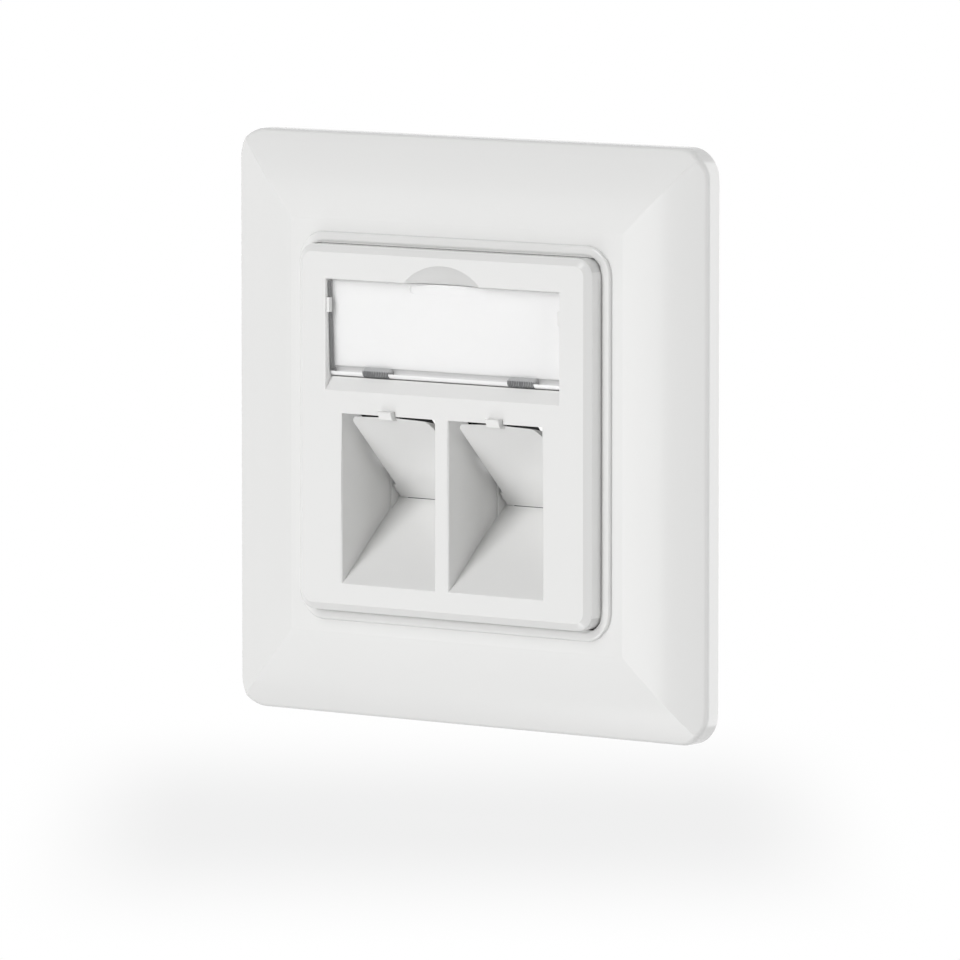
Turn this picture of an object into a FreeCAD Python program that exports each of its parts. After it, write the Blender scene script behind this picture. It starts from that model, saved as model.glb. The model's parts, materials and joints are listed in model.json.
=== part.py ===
import FreeCAD, Part
import math
import os
import re
import Sketcher
from FreeCAD import Vector

# A two-port keystone faceplate for a flush wall box, in millimetres. The origin is the middle of the frame
# on the wall, X runs to the right, Y runs into the wall and Z runs up, so the front faces -Y.
# "Depth" below is a distance in front of the wall. The two ports are V-shaped wells: a dust flap closes
# the upper face of each V, and a fixed floor slopes up to meet it. A keystone jack sits behind each flap.

SIZES = [
    # outer frame
    ("frame_width", 80.0, "outer frame, side to side and top to bottom"),
    ("frame_corner_radius", 4.3, "corner of the outer frame"),
    ("frame_rim_depth", 2.5, "upright side of the frame above the wall"),
    ("frame_front_depth", 5.9, "flat land round the frame's opening, above the wall"),
    ("frame_land_width", 1.75, "flat land that shows beside the adapter ring"),
    ("frame_front_radius", 33.0, "section of the frame's domed front"),
    ("frame_edge_radius", 0.8, "rounding between the front and the upright side"),
    ("frame_wall", 2.0, "thickness of the upright side"),
    ("frame_skin", 1.7, "thickness of the domed front"),
    ("frame_rib", 1.6, "wall round the frame's opening"),
    ("frame_step", 1.0, "from the frame's straight recess to the tapered one in front of it"),
    # steel mounting bracket
    ("bracket_thickness", 1.2, "steel sheet"),
    ("bracket_gap", 2.5, "between the bracket's edge and the frame's side"),
    ("bracket_corner_radius", 3.0, "outer corner of the bracket"),
    ("bracket_overlap", 2.3, "how far the holder's flange lies on the bracket"),
    ("bracket_clearance", 0.1, "between the bracket and the frame in front of it"),
    ("box_slot_land", 2.0, "steel left between a wall box slot and the bracket's edge"),
    ("box_slot_width", 4.0, "slot for a wall box screw"),
    ("box_slot_length", 7.0, "end to end length of that slot"),
    # adapter ring
    ("ring_lip_width", 1.4, "rounded lip over the frame"),
    ("ring_lip_height", 0.5, "lip above the frame's land"),
    ("ring_lip_radius", 0.4, "rounding of the lip's outer edge"),
    ("ring_web", 0.65, "wall of the ring inside the frame's opening"),
    ("ring_gap", 0.15, "between that wall and the frame"),
    ("ring_flange_width", 1.4, "inner flange that carries the plate's skirt"),
    ("ring_flange_thickness", 1.2, "inner flange"),
    ("ring_back_depth", 2.0, "back of the ring above the wall"),
    # centre plate
    ("plate_width", 50.0, "centre plate, side to side and top to bottom"),
    ("plate_gap", 0.2, "between the centre plate and the ring"),
    ("plate_corner_radius", 2.5, "corner of the centre plate"),
    ("face_depth", 8.8, "face of the centre plate above the wall"),
    ("plate_edge_width", 1.0, "chamfer round the face, measured across it"),
    ("plate_edge_depth", 0.7, "the same chamfer, measured into it"),
    ("plate_skin", 2.0, "thickness of the face"),
    ("plate_wall", 1.6, "thickness of the plate's skirt"),
    # port wells
    ("port_pitch", 18.4, "between the centres of the two ports"),
    ("port_width", 15.9, "inside width of a well"),
    ("port_top", 2.13, "upper edge of a well above the middle"),
    ("port_height", 23.33, "height of a well's mouth"),
    ("well_depth", 12.3, "bottom of the V behind the face"),
    ("well_side_depth", 10.5, "back edge of the well's side walls behind the face"),
    ("well_wall", 1.25, "thickness of the well's outer side walls"),
    ("well_floor", 1.5, "thickness of the sloping floor"),
    ("tongue_gap", 0.1, "end of the floor in front of the bottom of the V"),
    ("mouth_edge_radius", 0.3, "rounding of the wells' mouths"),
    ("flap_angle", 45.0, "slope of the closed flap"),
    # dust flaps
    ("flap_thickness", 1.2, "flap panel"),
    ("flap_side_gap", 1.15, "between the panel and the well's side wall"),
    ("flap_top_gap", 0.3, "between the panel and the well's upper edge"),
    ("flap_corner_radius", 1.5, "upper corners of the panel"),
    ("flap_top_fall", 15.0, "slope of the panel's upper edge, down towards its back"),
    ("foot_side_gap", 0.6, "between the flap's foot and the well's side wall"),
    ("foot_length", 1.4, "wide foot above the pivot"),
    ("foot_reach", 0.92, "foot below the pivot"),
    ("pivot_rise", 1.05, "pivot axis, back up the flap from the bottom of the V"),
    ("pivot_behind", 0.725, "pivot axis behind the front of the flap"),
    ("pivot_radius", 0.65, "pivot pin"),
    ("pivot_clearance", 0.05, "round the pivot pin in its bearing"),
    ("pivot_engagement", 0.85, "length of pin inside a bearing ear"),
    ("ear_proud", 0.3, "bearing ear inside the well's side wall"),
    ("ear_reach", 1.6, "ear past the pivot, along the flap"),
    ("ear_behind", 1.5, "ear behind the bottom of the V"),
    ("ear_drop", 2.2, "ear below the bottom of the V"),
    ("nub_width", 2.34, "finger nub at the top of the flap"),
    ("nub_projection", 1.0, "nub in front of the face"),
    ("nub_rise", 0.6, "top of the nub above the well's upper edge"),
    ("nub_height", 1.15, "front of the nub, top to bottom"),
    ("nub_clearance", 0.08, "round the nub in its notch"),
    ("nub_notch_depth", 1.0, "notch in the face for the nub"),
    # keystone holder behind the plate
    ("holder_setback", 3.0, "holder behind the front face of the flaps"),
    ("holder_clearance", 0.4, "between the wells and the holder's front"),
    ("holder_length", 9.0, "holder along the jack's axis"),
    ("holder_root", 1.5, "how far the flange runs into the top of the block"),
    ("holder_apron", 2.2, "apron below the bottom of the V"),
    ("holder_top", 0.5, "upper wall of the holder below the well's upper edge, along the flap"),
    ("bay_width", 14.8, "opening for a keystone jack"),
    ("bay_height", 16.2, "the same opening along the flap"),
    ("bay_wall", 1.0, "wall above and below a bay"),
    ("bay_side_wall", 1.4, "wall outside a bay"),
    ("catch_window_width", 8.0, "window for the jack's spring catch"),
    ("catch_window_length", 4.0, "the same window along the jack's axis"),
    ("catch_window_setback", 2.5, "front of that window behind the holder's front"),
    ("hook_window_width", 6.0, "window for the jack's fixed hook"),
    ("hook_window_length", 3.0, "the same window along the jack's axis"),
    ("holder_flange_thickness", 1.5, "flange on the bracket"),
    ("holder_flange_radius", 2.3, "corner of the flange"),
    ("holder_flange_gap", 1.0, "between the flange and the ring"),
    ("holder_well_gap", 0.4, "between the flange's window and the wells"),
    ("hook_width", 6.0, "snap hook that holds the flange on the bracket"),
    ("hook_thickness", 1.1, "leg of the hook"),
    ("hook_catch", 0.8, "barb of the hook"),
    ("hook_tip", 1.5, "barb along the leg of the hook"),
    ("hook_gap", 0.1, "between the hook and the bracket"),
    ("hook_height", 9.0, "hooks above and below the middle"),
    # label recess, window and card
    ("recess_width", 40.0, "label recess"),
    ("recess_top", 20.4, "upper edge of the recess above the middle"),
    ("recess_ledge", 7.0, "lower ledge of the recess above the middle"),
    ("recess_depth", 2.5, "floor of the recess behind the face"),
    ("recess_floor", 1.5, "thickness of that floor"),
    ("recess_wall", 1.2, "wall round the recess behind the face"),
    ("ledge_slope_height", 1.8, "sloping edge below the ledge"),
    ("ledge_slope_depth", 1.2, "the same slope, measured into the plate"),
    ("scoop_width", 13.0, "finger scoop where it meets the recess"),
    ("scoop_height", 2.56, "finger scoop above the recess"),
    ("scoop_run", 7.5, "from the top of the scoop to the middle of its ellipse"),
    ("scoop_depth", 1.0, "finger scoop where it meets the recess"),
    ("window_side_gap", 0.6, "between the window and the side of the recess"),
    ("window_top_gap", 0.3, "between the window and the top of the recess"),
    ("window_thickness", 0.8, "clear pane"),
    ("window_inset", 0.95, "front of the pane behind the face"),
    ("window_rod_radius", 0.65, "hinge rod along the pane's lower edge"),
    ("window_rod_gap", 0.1, "between the rod and the ledge"),
    ("window_pin_radius", 0.4, "hinge pins at the ends of the rod"),
    ("window_pin_length", 0.6, "hinge pin inside the plate"),
    ("window_pin_clearance", 0.1, "past the end of a hinge pin"),
    ("window_tab_width", 5.0, "hinge block on the rod"),
    ("window_tab_pitch", 24.8, "between the centres of the two hinge blocks"),
    ("window_tab_rise", 0.85, "top of the hinge block above the rod's axis"),
    ("window_tab_radius", 0.2, "corners of the hinge block"),
    ("window_collar", 0.05, "round lower half of the hinge block, proud of the rod"),
    ("window_lip_width", 11.0, "finger lip at the top of the pane"),
    ("window_lip_height", 1.1, "the same lip, top to bottom"),
    ("window_lip_rise", 0.4, "the same lip in front of the pane"),
    ("window_lip_radius", 0.5, "corners of the same lip"),
    ("latch_rise", 16.8, "latch bumps above the middle"),
    ("latch_length", 2.0, "latch bump"),
    ("latch_reach", 0.5, "latch bump into the recess"),
    ("latch_inset", 0.2, "latch bump behind the face"),
    ("latch_gap", 0.1, "between a latch bump and the pane"),
    ("card_thickness", 0.25, "paper label"),
    ("card_gap", 0.4, "between the card and the window's edge, all round"),
    # screws that hold the centre plate, under the card
    ("screw_inset", 5.0, "screw inside the end of the recess"),
    ("screw_rise", 13.7, "screws above the middle"),
    ("screw_radius", 1.25, "shank"),
    ("screw_head_radius", 2.4, "countersunk head"),
    ("screw_length", 8.0, "overall length"),
    ("screw_clearance", 0.05, "round the screw in its seat and its boss"),
    ("screw_hole_clearance", 0.15, "round the shank in the floor of the recess"),
    ("screw_slot_width", 0.6, "driver slot"),
    ("screw_slot_depth", 0.6, "driver slot"),
    ("boss_radius", 2.6, "boss of the holder that takes a screw"),
    ("boss_gap", 0.2, "between a boss and the floor of the recess"),
]

# Places worked out from the sizes. Each is written in the names of the sheet.
FRAME_HALF = "(frame_width / 2)"
PLATE_HALF = "(plate_width / 2)"
RING_INNER = f"({PLATE_HALF} + plate_gap)"
RING_CORNER = "(plate_corner_radius + plate_gap)"
RING_LIP = f"({RING_INNER} + ring_lip_width)"
RING_WEB = f"({RING_INNER} + ring_web)"
RING_FLANGE = f"({RING_INNER} - ring_flange_width)"
RING_FLANGE_FRONT = "(ring_back_depth + ring_flange_thickness)"
OPENING = f"({RING_WEB} + ring_gap)"
OPENING_CORNER = f"({RING_CORNER} + ring_web + ring_gap)"
BRACKET_HALF = f"({FRAME_HALF} - frame_wall - bracket_gap)"
HOLDER_FLANGE = f"({RING_FLANGE} - holder_flange_gap)"
BRACKET_OPENING = f"({HOLDER_FLANGE} - bracket_overlap)"
BOX_SCREW_REACH = f"({BRACKET_HALF} - box_slot_land - box_slot_length / 2)"
HOLDER_FLANGE_FRONT = "(bracket_thickness + holder_flange_thickness)"
PORT_BOTTOM = "(port_top - port_height)"
WELL_BOTTOM_Y = "(well_depth - face_depth)"
WELL_BOTTOM_Z = "(port_top - well_depth / tan(flap_angle))"
FLAP_SLOPE = "(well_depth / sin(flap_angle))"
FLOOR_RISE = f"(({WELL_BOTTOM_Z} - {PORT_BOTTOM}) / well_depth)"
FLOOR_DROP = f"(well_floor * sqrt(1 + {FLOOR_RISE} * {FLOOR_RISE}))"
WELL_BACK_Y = "(well_side_depth - face_depth)"
WELLS_HALF = "(port_pitch / 2 + port_width / 2 + well_wall)"
EAR_INNER = "(port_width / 2 - ear_proud)"
EAR_BACK = "(holder_setback - holder_clearance)"
HOLDER_HALF = "(port_pitch / 2 + bay_width / 2 + bay_side_wall)"
HOLDER_BACK = "(holder_setback + holder_length)"
BAY_TOP = "(holder_top + bay_wall)"
BAY_BOTTOM = f"({BAY_TOP} + bay_height)"
HOLDER_BOTTOM = f"({BAY_BOTTOM} + bay_wall)"
PIVOT_ALONG = f"({FLAP_SLOPE} - pivot_rise)"
RECESS_HALF = "(recess_width / 2)"
SCREW_X = f"({RECESS_HALF} - screw_inset)"
RECESS_FLOOR = "(face_depth - recess_depth)"
RECESS_BACK = f"({RECESS_FLOOR} - recess_floor)"
WINDOW_HALF = f"({RECESS_HALF} - window_side_gap)"
WINDOW_TOP = "(recess_top - window_top_gap)"
WINDOW_FRONT = "(face_depth - window_inset)"
ROD_DEPTH = f"({WINDOW_FRONT} - window_rod_radius)"
ROD_Z = "(recess_ledge + window_rod_gap + window_rod_radius)"
BOSS_FRONT = f"({RECESS_BACK} - boss_gap)"
SIDES = (-1, 1)
OVERSHOOT = "1"  # how far a cut runs past the surface that it opens
ROOT = "0.1"  # how far a joined form runs into the one that carries it


def bound(expression):
    """The same expression with each size read from the sheet."""
    return ALIAS.sub(r"Sizes.\1", expression)


def number(expression):
    """The expression's value with the sheet as it stands."""
    return float(sheet.evalExpression(bound(expression)))


def along_flap(down, behind):
    """Section point (Y, Z) that lies down the closed flap's front face and behind it."""
    y = f"({down}) * sin(flap_angle) + ({behind}) * cos(flap_angle) - face_depth"
    z = f"port_top - ({down}) * cos(flap_angle) + ({behind}) * sin(flap_angle)"
    return y, z


def new_body(name):
    """An empty body whose label is the sub-part's name."""
    body = doc.addObject("PartDesign::Body", name)
    body.Label = name
    return body


def new_sketch(body, plane, name, offset="0"):
    """A sketch on one of the body's own planes: XZ is a front view, offset forwards, and YZ a section."""
    sketch = body.newObject("Sketcher::SketchObject", name)
    base = next(item for item in body.Origin.OriginFeatures if item.Role == plane + "_Plane")
    sketch.AttachmentSupport = [(base, "")]
    sketch.MapMode = "FlatFace"
    sketch.setExpression("AttachmentOffset.Base.z", bound(offset))
    return sketch


def constrain(sketch, kind, references, expression):
    """Add one dimension that follows the sheet."""
    index = sketch.addConstraint(Sketcher.Constraint(kind, *references, number(expression)))
    sketch.setExpression(f"Constraints[{index}]", bound(expression))


def add_outline(sketch, points, closing_radius=None):
    """A closed outline through points given as pairs of expressions.

    Its sides are straight. With a closing radius, the last side is an arc that bulges to its right.
    """
    corners = [Vector(number(x), number(y), 0) for x, y in points]
    start, count = sketch.GeometryCount, len(points)
    for index in range(count):
        begin, end = corners[index], corners[(index + 1) % count]
        side = Part.LineSegment(begin, end)
        if closing_radius and index == count - 1:
            chord, radius = end - begin, number(closing_radius)
            to_centre = math.sqrt(radius ** 2 - (chord.Length / 2) ** 2)
            centre = (begin + end) / 2 + Vector(-chord.y, chord.x, 0).normalize() * to_centre
            turns = [math.atan2(point.y - centre.y, point.x - centre.x) for point in (begin, end)]
            side = Part.ArcOfCircle(Part.Circle(centre, Vector(0, 0, 1), radius), *turns)
        sketch.addGeometry(side, False)
    for index in range(count):
        following = start + (index + 1) % count
        sketch.addConstraint(Sketcher.Constraint("Coincident", start + index, 2, following, 1))
    for index, (x, y) in enumerate(points):
        constrain(sketch, "DistanceX", (-1, 1, start + index, 1), x)
        constrain(sketch, "DistanceY", (-1, 1, start + index, 1), y)
    if closing_radius:
        constrain(sketch, "Radius", (start + count - 1,), closing_radius)


def add_box(sketch, left, right, bottom, top):
    """A closed rectangle with sharp corners."""
    add_outline(sketch, [(left, bottom), (right, bottom), (right, top), (left, top)])


def add_rounded_box(sketch, left, right, bottom, top, radius):
    """A closed rectangle with tangent arcs at its corners."""
    x0, x1, y0, y1, r = (number(value) for value in (left, right, bottom, top, radius))
    start = sketch.GeometryCount
    ends = [((x0 + r, y0), (x1 - r, y0)), ((x1, y0 + r), (x1, y1 - r)),
            ((x1 - r, y1), (x0 + r, y1)), ((x0, y1 - r), (x0, y0 + r))]
    centres = [(x1 - r, y0 + r), (x1 - r, y1 - r), (x0 + r, y1 - r), (x0 + r, y0 + r)]
    for quarter, (line, centre) in enumerate(zip(ends, centres)):
        circle = Part.Circle(Vector(*centre, 0), Vector(0, 0, 1), r)
        turn = math.radians(90 * (quarter - 1))
        sketch.addGeometry(Part.LineSegment(Vector(*line[0], 0), Vector(*line[1], 0)), False)
        sketch.addGeometry(Part.ArcOfCircle(circle, turn, turn + math.pi / 2), False)
    for quarter in range(4):
        line, arc = start + 2 * quarter, start + 2 * quarter + 1
        next_line = start + 2 * ((quarter + 1) % 4)
        sketch.addConstraint(Sketcher.Constraint("Tangent", line, 2, arc, 1))
        sketch.addConstraint(Sketcher.Constraint("Tangent", arc, 2, next_line, 1))
        sketch.addConstraint(Sketcher.Constraint(("Horizontal", "Vertical")[quarter % 2], line))
        if quarter:
            sketch.addConstraint(Sketcher.Constraint("Equal", start + 1, arc))
    constrain(sketch, "Radius", (start + 1,), radius)
    constrain(sketch, "DistanceY", (-1, 1, start, 1), bottom)
    constrain(sketch, "DistanceX", (-1, 1, start + 2, 1), right)
    constrain(sketch, "DistanceY", (-1, 1, start + 4, 1), top)
    constrain(sketch, "DistanceX", (-1, 1, start + 6, 1), left)


def add_rounded_square(sketch, half, radius):
    """A rounded square about the middle of the plate."""
    add_rounded_box(sketch, f"-{half}", half, f"-{half}", half, radius)


def add_circle(sketch, x, y, radius):
    """A circle, placed and sized by expressions."""
    centre = Vector(number(x), number(y), 0)
    index = sketch.addGeometry(Part.Circle(centre, Vector(0, 0, 1), number(radius)), False)
    constrain(sketch, "Radius", (index,), radius)
    constrain(sketch, "DistanceX", (-1, 1, index, 3), x)
    constrain(sketch, "DistanceY", (-1, 1, index, 3), y)


def add_slot(sketch, x, y, length, width, upright):
    """A round-ended slot about a point, along the sketch's X, or along its Y where upright."""
    reach = f"(({length}) / 2)"
    half = f"(({width}) / 2)"
    across, up = (half, reach) if upright else (reach, half)
    radius = f"({half} * 0.9999)"
    add_rounded_box(sketch, f"{x} - {across}", f"{x} + {across}", f"{y} - {up}", f"{y} + {up}", radius)


def extrude(body, sketch, length, cut=False, both_ways=False, backwards=False):
    """Pad or pocket a sketch. A pad grows along the sketch's normal and a pocket cuts against it."""
    kind, word = ("PartDesign::Pocket", "Cut") if cut else ("PartDesign::Pad", "Pad")
    feature = body.newObject(kind, word + sketch.Name)
    feature.Profile = sketch
    feature.setExpression("Length", bound(length))
    feature.Midplane = both_ways
    feature.Reversed = backwards
    doc.recompute()
    return feature


def front_pad(body, name, depth, length, draw, *sizes):
    """Pad a front view forwards by a length, starting at a depth above the wall."""
    sketch = new_sketch(body, "XZ", name, depth)
    draw(sketch, *sizes)
    return extrude(body, sketch, length)


def front_cut(body, name, depth, length, draw, *sizes):
    """Cut a front view into the body towards the wall, starting at a depth above the wall."""
    sketch = new_sketch(body, "XZ", name, depth)
    draw(sketch, *sizes)
    return extrude(body, sketch, length, cut=True)


def section(body, name, middle, width, draw, *sizes, cut=False):
    """Pad or cut a side section, equally to both sides of a middle X."""
    sketch = new_sketch(body, "YZ", name, middle)
    draw(sketch, *sizes)
    return extrude(body, sketch, width, cut=cut, both_ways=True)


def edges_where(feature, test):
    """Names of the feature's edges whose every sampled point passes the test."""
    names = []
    for index, edge in enumerate(feature.Shape.Edges, start=1):
        if all(test(point) for point in edge.discretize(5)):
            names.append(f"Edge{index}")
    return names


def round_edges(body, radius, test):
    """Fillet the edges of the body's last feature that pass the test."""
    base = body.Tip
    feature = body.newObject("PartDesign::Fillet", "Round")
    feature.Base = (base, edges_where(base, test))
    feature.setExpression("Radius", bound(radius))
    doc.recompute()
    return feature


def port_centre(side):
    """Middle X of the left port (-1) or the right port (1)."""
    return f"({side} * port_pitch / 2)"


def make_outer_frame():
    """Square moulded frame: domed front with mitred corners, open back, wall round its opening."""
    body = new_body("outer_frame")
    front_pad(body, "FrameBlank", "0", "frame_front_depth", add_rounded_square, FRAME_HALF,
              "frame_corner_radius")

    # one side of the domed front, cut with an arc section and repeated round the four sides
    land = f"({RING_LIP} + frame_land_width)"
    cut = section(body, "FrameDome", "0", f"frame_width + 2 * {OVERSHOOT}", add_outline, [
        ("-frame_front_depth", land),
        (f"-frame_front_depth - {OVERSHOOT}", land),
        (f"-frame_front_depth - {OVERSHOOT}", f"{FRAME_HALF} + {OVERSHOOT}"),
        ("-frame_rim_depth", f"{FRAME_HALF} + {OVERSHOOT}"),
        ("-frame_rim_depth", FRAME_HALF),
    ], "frame_front_radius", cut=True)
    sides = body.newObject("PartDesign::PolarPattern", "FourSides")
    sides.Originals = [cut]
    sides.Axis = (next(item for item in body.Origin.OriginFeatures if item.Role == "Y_Axis"), [""])
    sides.Angle = 360
    sides.Occurrences = 4
    body.Tip = sides
    doc.recompute()

    half, rim = number(FRAME_HALF), number("frame_rim_depth")
    corner = half - number("frame_corner_radius")

    def on_rim(point):
        x, z = abs(point.x), abs(point.z)
        if x > corner and z > corner:
            outside = math.hypot(x - corner, z - corner) > half - corner - 0.01
        else:
            outside = max(x, z) > half - 0.01
        return outside and -point.y > rim * 0.9

    round_edges(body, "frame_edge_radius", on_rim)

    # hollow back: a straight recess over the bracket, then a tapered one under the dome
    inside = f"({FRAME_HALF} - frame_wall)"
    recess = "(bracket_thickness + bracket_clearance)"
    front_cut(body, "FrameBack", recess, recess, add_rounded_square, inside,
              "(frame_corner_radius - frame_wall)")
    hollow = body.newObject("PartDesign::SubtractiveWedge", "FrameHollow")
    wide, narrow = f"({inside} - frame_step)", f"({OPENING} + frame_rib)"
    ceiling = "(frame_front_depth - frame_skin)"
    reaches = [("Ymin", f"-{ceiling}"), ("Ymax", f"-{recess}")]
    for letter in "XZ":
        reaches += [(f"{letter}min", f"-{narrow}"), (f"{letter}max", narrow)]
        reaches += [(f"{letter}2min", f"-{wide}"), (f"{letter}2max", wide)]
    for name, expression in reaches:
        hollow.setExpression(name, bound(expression))
    doc.recompute()
    front_pad(body, "FrameRib", recess, f"{ceiling} - {recess} + frame_skin / 2", add_rounded_square,
              f"({OPENING} + frame_rib)", f"({OPENING_CORNER} + frame_rib)")
    front_cut(body, "FrameOpening", "frame_front_depth", "frame_front_depth", add_rounded_square,
              OPENING, OPENING_CORNER)
    return body


def make_adapter_ring():
    """Ring between the frame and the plate: a lip over the frame and a flange under the plate's skirt."""
    body = new_body("adapter_ring")
    lip_front = "(frame_front_depth + ring_lip_height)"
    front_pad(body, "RingWeb", "ring_back_depth", f"{lip_front} - ring_back_depth", add_rounded_square,
              RING_WEB, f"({RING_CORNER} + ring_web)")
    front_pad(body, "RingLip", "frame_front_depth", "ring_lip_height", add_rounded_square,
              RING_LIP, f"({RING_CORNER} + ring_lip_width)")
    front_cut(body, "RingMouth", lip_front, f"{lip_front} - {RING_FLANGE_FRONT}", add_rounded_square,
              RING_INNER, RING_CORNER)
    front_cut(body, "RingFlange", lip_front, lip_front, add_rounded_square,
              RING_FLANGE, "(ring_flange_width / 2)")
    front = -number(lip_front)
    round_edges(body, "ring_lip_radius", lambda point: abs(point.y - front) < 0.01)
    return body


def make_centre_plate():
    """The face with its skirt, the two V-shaped wells, the label recess and the finger scoop."""
    body = new_body("centre_plate")
    front_pad(body, "PlateBlank", RING_FLANGE_FRONT, f"face_depth - {RING_FLANGE_FRONT}",
              add_rounded_square, PLATE_HALF, "plate_corner_radius")
    base = body.Tip
    face_y = -number("face_depth")
    bevel = body.newObject("PartDesign::Chamfer", "FaceEdge")
    bevel.Base = (base, edges_where(base, lambda point: abs(point.y - face_y) < 0.01))
    bevel.ChamferType = "Two distances"
    bevel.setExpression("Size", bound("plate_edge_depth"))
    bevel.setExpression("Size2", bound("plate_edge_width"))
    doc.recompute()
    skin_back = "(face_depth - plate_skin)"
    front_cut(body, "PlateBack", skin_back, f"{skin_back} - {RING_FLANGE_FRONT}", add_rounded_square,
              f"({PLATE_HALF} - plate_wall)", "(plate_corner_radius - plate_wall)")

    # tray behind the label recess
    front_pad(body, "RecessTray", RECESS_BACK, f"{skin_back} - {RECESS_BACK}", add_box,
              f"-{RECESS_HALF} - recess_wall", f"{RECESS_HALF} + recess_wall",
              f"{along_flap('0', 'holder_setback')[1]}", "recess_top + recess_wall")

    # wells: solid blocks first, then the V and the space behind each flap
    wall_down = f"(({WELL_BACK_Y} + face_depth) / sin(flap_angle) - {EAR_BACK} / tan(flap_angle))"
    wall_top = along_flap(wall_down, EAR_BACK)[1]
    floor_at_back = f"({PORT_BOTTOM} + well_side_depth * {FLOOR_RISE})"
    for side in SIDES:
        section(body, "WellBlock", port_centre(side), "port_width + 2 * well_wall", add_outline, [
            (f"-{skin_back}", f"port_top + plate_skin + {EAR_BACK}"),
            (f"-{skin_back}", f"{PORT_BOTTOM} + plate_skin * {FLOOR_RISE} - {FLOOR_DROP}"),
            (WELL_BACK_Y, f"{floor_at_back} - {FLOOR_DROP}"),
            (WELL_BACK_Y, wall_top),
        ])
    front_of_cut = f"(-face_depth - {OVERSHOOT})"
    behind = f"(holder_setback + {OVERSHOOT})"
    for side in SIDES:
        section(body, "Well", port_centre(side), "port_width", add_outline, [
            (front_of_cut, "port_top"),
            ("-face_depth", "port_top"),
            along_flap("0", behind),
            along_flap(FLAP_SLOPE, behind),
            (WELL_BOTTOM_Y, WELL_BOTTOM_Z),
            ("-face_depth", PORT_BOTTOM),
            (front_of_cut, PORT_BOTTOM),
        ], cut=True)
    section(body, "HolderSpace", "0", f"2 * {WELLS_HALF} + {OVERSHOOT}", add_outline, [
        along_flap("0", EAR_BACK),
        along_flap("0", HOLDER_BACK),
        along_flap(FLAP_SLOPE, HOLDER_BACK),
        along_flap(FLAP_SLOPE, EAR_BACK),
    ], cut=True)

    # bearing ears behind the side walls: one between the ports and one outside each
    ear = [
        (WELL_BACK_Y, wall_top),
        (WELL_BACK_Y, f"{floor_at_back} - {FLOOR_DROP}"),
        (f"{WELL_BOTTOM_Y} + ear_behind", f"{WELL_BOTTOM_Z} - ear_drop"),
        along_flap(f"{PIVOT_ALONG} + ear_reach", EAR_BACK),
    ]
    ear_width = f"({WELLS_HALF} - port_pitch / 2 - {EAR_INNER})"
    section(body, "MiddleEar", "0", f"port_pitch - 2 * {EAR_INNER}", add_outline, ear)
    for side in SIDES:
        section(body, "OuterEar", f"{side} * ({WELLS_HALF} - {ear_width} / 2)", ear_width, add_outline, ear)
    section(body, "Bearings", "0", f"2 * {WELLS_HALF} + {OVERSHOOT}", add_circle,
            *along_flap(PIVOT_ALONG, "pivot_behind"), "pivot_radius + pivot_clearance", cut=True)

    # the floor runs on between the ears, almost to the bottom of the V
    tongue_root = f"({WELL_BACK_Y} - {ROOT})"
    tongue_end = f"({WELL_BOTTOM_Y} - tongue_gap)"
    floor_at_root = f"({floor_at_back} - {ROOT} * {FLOOR_RISE})"
    floor_at_end = f"({PORT_BOTTOM} + (well_depth - tongue_gap) * {FLOOR_RISE})"
    for side in SIDES:
        section(body, "FloorTongue", port_centre(side), "port_width", add_outline, [
            (tongue_root, floor_at_root),
            (tongue_end, floor_at_end),
            (tongue_end, f"{floor_at_end} - well_floor"),
            (tongue_root, f"{floor_at_root} - {FLOOR_DROP}"),
        ])
        front_cut(body, "NubNotch", "face_depth", "nub_notch_depth", add_box,
                  f"{port_centre(side)} - nub_width / 2 - nub_clearance",
                  f"{port_centre(side)} + nub_width / 2 + nub_clearance",
                  f"port_top - {OVERSHOOT}", "port_top + nub_rise + nub_clearance")

    # label recess with a sloping edge below its ledge
    front_cut(body, "Recess", "face_depth", "recess_depth", add_box,
              f"-{RECESS_HALF}", RECESS_HALF, "recess_ledge", "recess_top")
    section(body, "LedgeSlope", "0", "recess_width", add_outline, [
        ("-face_depth", "recess_ledge - ledge_slope_height"),
        ("-face_depth + ledge_slope_depth", "recess_ledge"),
        (front_of_cut, "recess_ledge"),
        (front_of_cut, "recess_ledge - ledge_slope_height"),
    ], cut=True)
    for side in SIDES:
        wall, reach = f"{side} * {RECESS_HALF}", f"{side} * ({RECESS_HALF} - latch_reach)"
        root = f"{side} * ({RECESS_HALF} + {ROOT})"
        edges = (root, reach) if side < 0 else (reach, root)
        front_pad(body, "LatchBump", f"{WINDOW_FRONT} + latch_gap", "window_inset - latch_gap - latch_inset",
                  add_box, *edges, "latch_rise - latch_length / 2", "latch_rise + latch_length / 2")

    # finger scoop: an ellipsoid that the face cuts at 0.6 of its depth, where it has 0.8 of its full size
    sunk, share = "0.6", "0.8"
    offset = "((scoop_run - scoop_height) / scoop_run)"
    deep = f"(scoop_depth / (sqrt(1 - ({share} * {offset}) ^ 2) - {sunk}))"
    scoop = body.newObject("PartDesign::SubtractiveEllipsoid", "FingerScoop")
    scoop.setExpression("Radius1", bound(f"scoop_run / {share}"))
    scoop.setExpression("Radius2", bound(f"scoop_width / 2 / sqrt(1 - {offset} ^ 2) / {share}"))
    scoop.setExpression("Radius3", bound(deep))
    scoop.setExpression("Placement.Base.y", bound(f"-face_depth - {sunk} * {deep}"))
    scoop.setExpression("Placement.Base.z", bound("recess_top + scoop_height - scoop_run"))
    doc.recompute()

    # a pin hole at each end of the window's rod
    section(body, "WindowPinHole", "0", f"2 * ({RECESS_HALF} + window_pin_length + window_pin_clearance)",
            add_circle, f"-{ROD_DEPTH}", ROD_Z, "window_pin_radius + screw_clearance", cut=True)

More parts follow.
